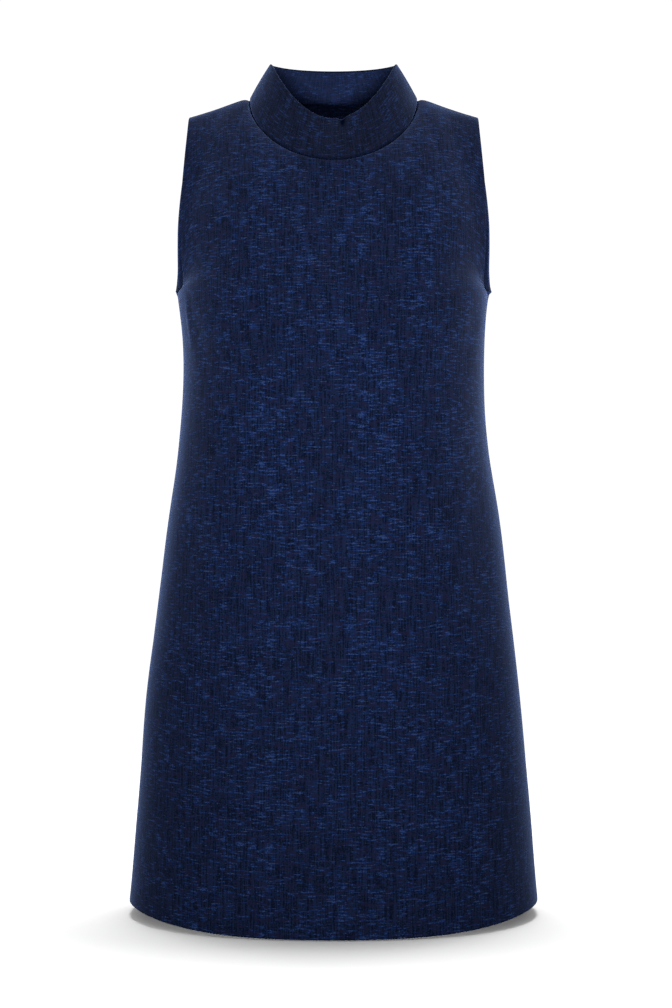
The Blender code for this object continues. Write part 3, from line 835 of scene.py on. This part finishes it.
def knit(name, shade):
    """Slubbed knit: a near-black navy ground with faint ribs, and short brighter slubs across it.

    The slubs crowd together in clumps and patches. The inner faces are painted paler, as painted
    light, and the neck seam and the collar's pinch are painted dark with a plain shader, as shadow.
    """
    cloth = Finish(name)
    grain = cloth.node("ShaderNodeUVMap", {"uv_map": "grain"}, {})
    ribs, rows, specks, clumps, patches, hues = (knit_noise(cloth, grain, noise) for noise in NOISES)
    fine = ribs * FINE_RIBS + specks * (1 - FINE_RIBS)
    crowding = (clumps - 0.5) * CLUMPING + (patches - 0.5) * PATCHING

    # the colours are scaled down by the shade factor, which paints shade on the collar
    def shaded(colour):
        return tuple(part * shade for part in colour[:3]) + (1,)

    colour = cloth.mix(cloth.between(fine, GROUND_BAND), shaded(GROUND_DARK), shaded(GROUND_LIGHT))
    violet_share = cloth.between(hues, VIOLET_BAND) * VIOLET_SHARE
    colour = cloth.mix(violet_share, colour, shaded(SLUB_VIOLET))
    slubs = cloth.between(rows + crowding, SLUB_BAND)
    on_ribs = cloth.between(ribs, SLUB_RIB_BAND) * (1 - OFF_RIBS) + OFF_RIBS
    colour = cloth.mix(slubs * on_ribs * BLUE_SHARE, colour, shaded(SLUB_BLUE))
    flecks = rows * FLECK_ROWS + specks * (1 - FLECK_ROWS) + crowding * FLECK_CROWDING
    bright_share = cloth.between(flecks, BRIGHT_BAND) * BRIGHT_SHARE
    colour = cloth.mix(bright_share, colour, shaded(SLUB_BRIGHT))

    # the inner faces are made paler and mixed with a pale colour: painted light
    across_cloth = cloth.node("ShaderNodeSeparateXYZ", {}, {"Vector": grain})
    half_way = INNER_FACE_SHIFT * MM / 2
    inner_painted_light = cloth.between(across_cloth, (half_way, half_way + 1))
    colour = cloth.node("ShaderNodeVectorMath", {"operation": "SCALE"}, {
        0: colour, "Scale": inner_painted_light * (INNER_PAINTED_LIGHT_GAIN - 1) + 1,
    })
    colour = cloth.mix(inner_painted_light * INNER_PAINTED_LIGHT_SHARE, colour, INNER_PAINTED_LIGHT_COLOUR)

    relief = fine + slubs * SLUB_RELIEF
    bump = cloth.node("ShaderNodeBump", {}, {
        "Strength": RELIEF_STRENGTH, "Distance": RELIEF, "Height": relief,
    })
    cloth.fill(cloth.shader, {
        "Base Color": colour,
        "Roughness": specks * SPECK_ROUGHNESS + SMOOTHEST,
        "Normal": bump,
        "Specular IOR Level": SHINE,
        "Sheen Weight": SHEEN,
        "Sheen Roughness": SHEEN_SPREAD,
        "Sheen Tint": SHEEN_TINT,
    })
    # the neck seam and the pinch get a plain dark shader mixed in: painted shadow
    shadow = cloth.node("ShaderNodeBsdfPrincipled", {}, {
        "Base Color": PAINTED_SHADOW_COLOUR, "Roughness": MATT, "Specular IOR Level": 0.0,
    })
    painted_shadow_mask = cloth.node("ShaderNodeAttribute", {"attribute_name": "painted_shadow_mask"}, {}, 2)
    face = Value(cloth, cloth.shader.outputs["BSDF"])
    with_painted_shadow = cloth.node("ShaderNodeMixShader", {}, {0: painted_shadow_mask, 1: face, 2: shadow})
    cloth.fill(cloth.surface, {"Surface": with_painted_shadow})
    return cloth.material


def pale_floor():
    """Plain pale floor."""
    floor = Finish("pale_floor")
    floor.fill(floor.shader, {
        "Base Color": FLOOR_COLOUR, "Roughness": MATT, "Specular IOR Level": 0.0,
    })
    return floor.material


# ---------------------------------------------------------------- stage


def add_floor():
    """A flat square just below the hem."""
    corners = [(x * FLOOR_HALF_SIDE, y * FLOOR_HALF_SIDE, FLOOR_Z)
               for x, y in ((-1, -1), (1, -1), (1, 1), (-1, 1))]
    mesh = bpy.data.meshes.new("floor")
    mesh.from_pydata(corners, [], [(0, 1, 2, 3)])
    mesh.materials.append(pale_floor())
    floor = bpy.data.objects.new("floor", mesh)
    bpy.context.scene.collection.objects.link(floor)


def add_lamp(name, place, aim, size, watts, spread):
    """A soft rectangular lamp at a place, turned to face its aim."""
    lamp = bpy.data.lights.new(name, "AREA")
    lamp.shape = "RECTANGLE"
    lamp.size, lamp.size_y = size
    lamp.energy = watts
    lamp.spread = math.radians(spread)
    holder = bpy.data.objects.new(name, lamp)
    holder.location = place
    away = np.array(place) - np.array(aim)
    turn = math.atan2(away[0], -away[1])
    tilt = math.atan2(math.hypot(away[0], away[1]), away[2])
    holder.rotation_euler = (tilt, 0, turn)
    bpy.context.scene.collection.objects.link(holder)


def add_surround():
    """Even white light from all round."""
    world = bpy.data.worlds.new("white_surround")
    world.use_nodes = True
    background = world.node_tree.nodes["Background"]
    background.inputs["Color"].default_value = (1, 1, 1, 1)
    background.inputs["Strength"].default_value = SURROUND_STRENGTH
    bpy.context.scene.world = world


def add_camera():
    """A level camera in front of the dress."""
    lens = bpy.data.cameras.new("camera")
    lens.sensor_width = SENSOR
    lens.lens = SENSOR * CAMERA_DISTANCE / VIEW_HEIGHT
    lens.clip_end = FARTHEST_SEEN
    camera = bpy.data.objects.new("camera", lens)
    camera.location = (CAMERA_X, -CAMERA_DISTANCE, CAMERA_Z)
    camera.rotation_euler = (math.pi / 2, 0, 0)
    bpy.context.scene.collection.objects.link(camera)
    bpy.context.scene.camera = camera


# ---------------------------------------------------------------- the dress


def front_cloth(name):
    return panel(name, FRONT, FRONT_CREASES)


def back_cloth(name):
    return panel(name, BACK, BACK_CREASES)


# The pieces: name, the node it stands for, its maker, how deep its colours are (below 1, painted
# shade), and what shows of its cut, as width with length and as area. A row for each piece.
PIECES = (
    ("front_cloth", "front_panel", front_cloth, 1.0, (0.58, 0.87), 0.395),
    ("back_cloth", "back_panel", back_cloth, 1.0, (0.58, 0.88), 0.396),
    ("collar_cloth", "collar", collar, COLLAR_PAINTED_SHADE, (0.50, 0.05), 0.0215),
)

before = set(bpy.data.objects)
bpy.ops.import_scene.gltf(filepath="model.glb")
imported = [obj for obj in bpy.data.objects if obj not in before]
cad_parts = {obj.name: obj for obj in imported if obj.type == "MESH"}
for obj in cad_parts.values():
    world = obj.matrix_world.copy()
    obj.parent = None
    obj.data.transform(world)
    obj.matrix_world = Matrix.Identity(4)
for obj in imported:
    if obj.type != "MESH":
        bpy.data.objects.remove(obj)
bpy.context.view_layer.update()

bpy.context.scene.view_settings.view_transform = "Standard"
add_camera()
add_floor()
add_surround()
for row in LAMPS:
    add_lamp(**dict(zip(LAMP_COLUMNS, row)))

for name, node, make, shade, flat, area in PIECES:
    piece = make(name)
    piece.data.materials.append(knit(name + "_knit", shade))
    if node != "collar":
        rolled_edges(piece)
    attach(piece, "root")
    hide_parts(node)
